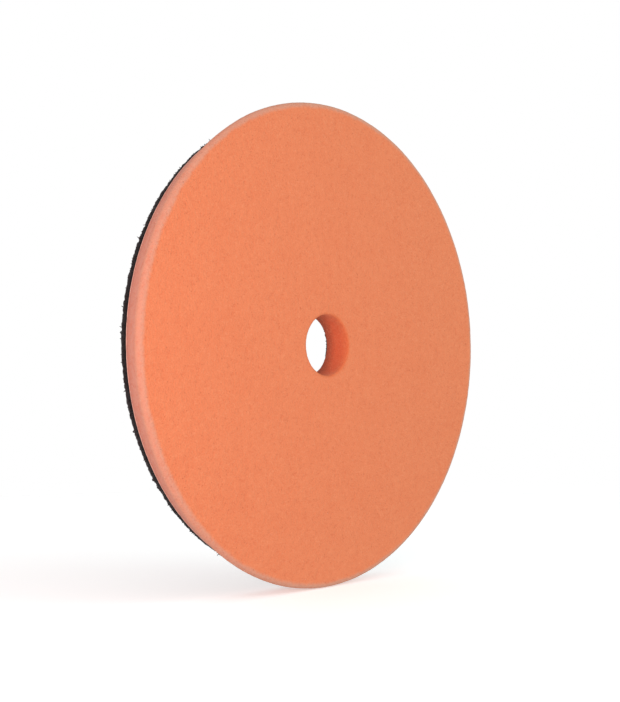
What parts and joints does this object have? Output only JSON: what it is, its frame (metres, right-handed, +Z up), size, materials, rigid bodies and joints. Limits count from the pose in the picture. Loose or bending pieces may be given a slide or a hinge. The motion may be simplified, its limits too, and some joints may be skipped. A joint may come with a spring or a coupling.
{
  "type": "polishing pad",
  "caption": "Thin round foam polishing pad with a centre hole, a side wall drawn in behind the working face and a black hook-and-loop backing.",
  "frame": {"origin": "where the spin axis crosses the loop face, which is the seat of the machine's backing plate", "axes": "+Y along the spin axis, out of the loop face towards the machine; the working face looks along -Y; +Z is up with the pad upright on its rim"},
  "size_m": [0.165, 0.0138, 0.165],
  "materials": {
    "foam": "open-cell orange polyurethane foam, matt, fine cut cells",
    "adhesive": "pale translucent hot-melt film",
    "loop_cloth": "black knitted nylon, matt",
    "loop_pile": "black raised nylon loops, soft sheen"
  },
  "bodies": {
    "root": {"foam_disc": "foam", "adhesive_film": "adhesive", "loop_ground_cloth": "loop_cloth", "loop_pile": "loop_pile"}
  },
  "joints": []
}
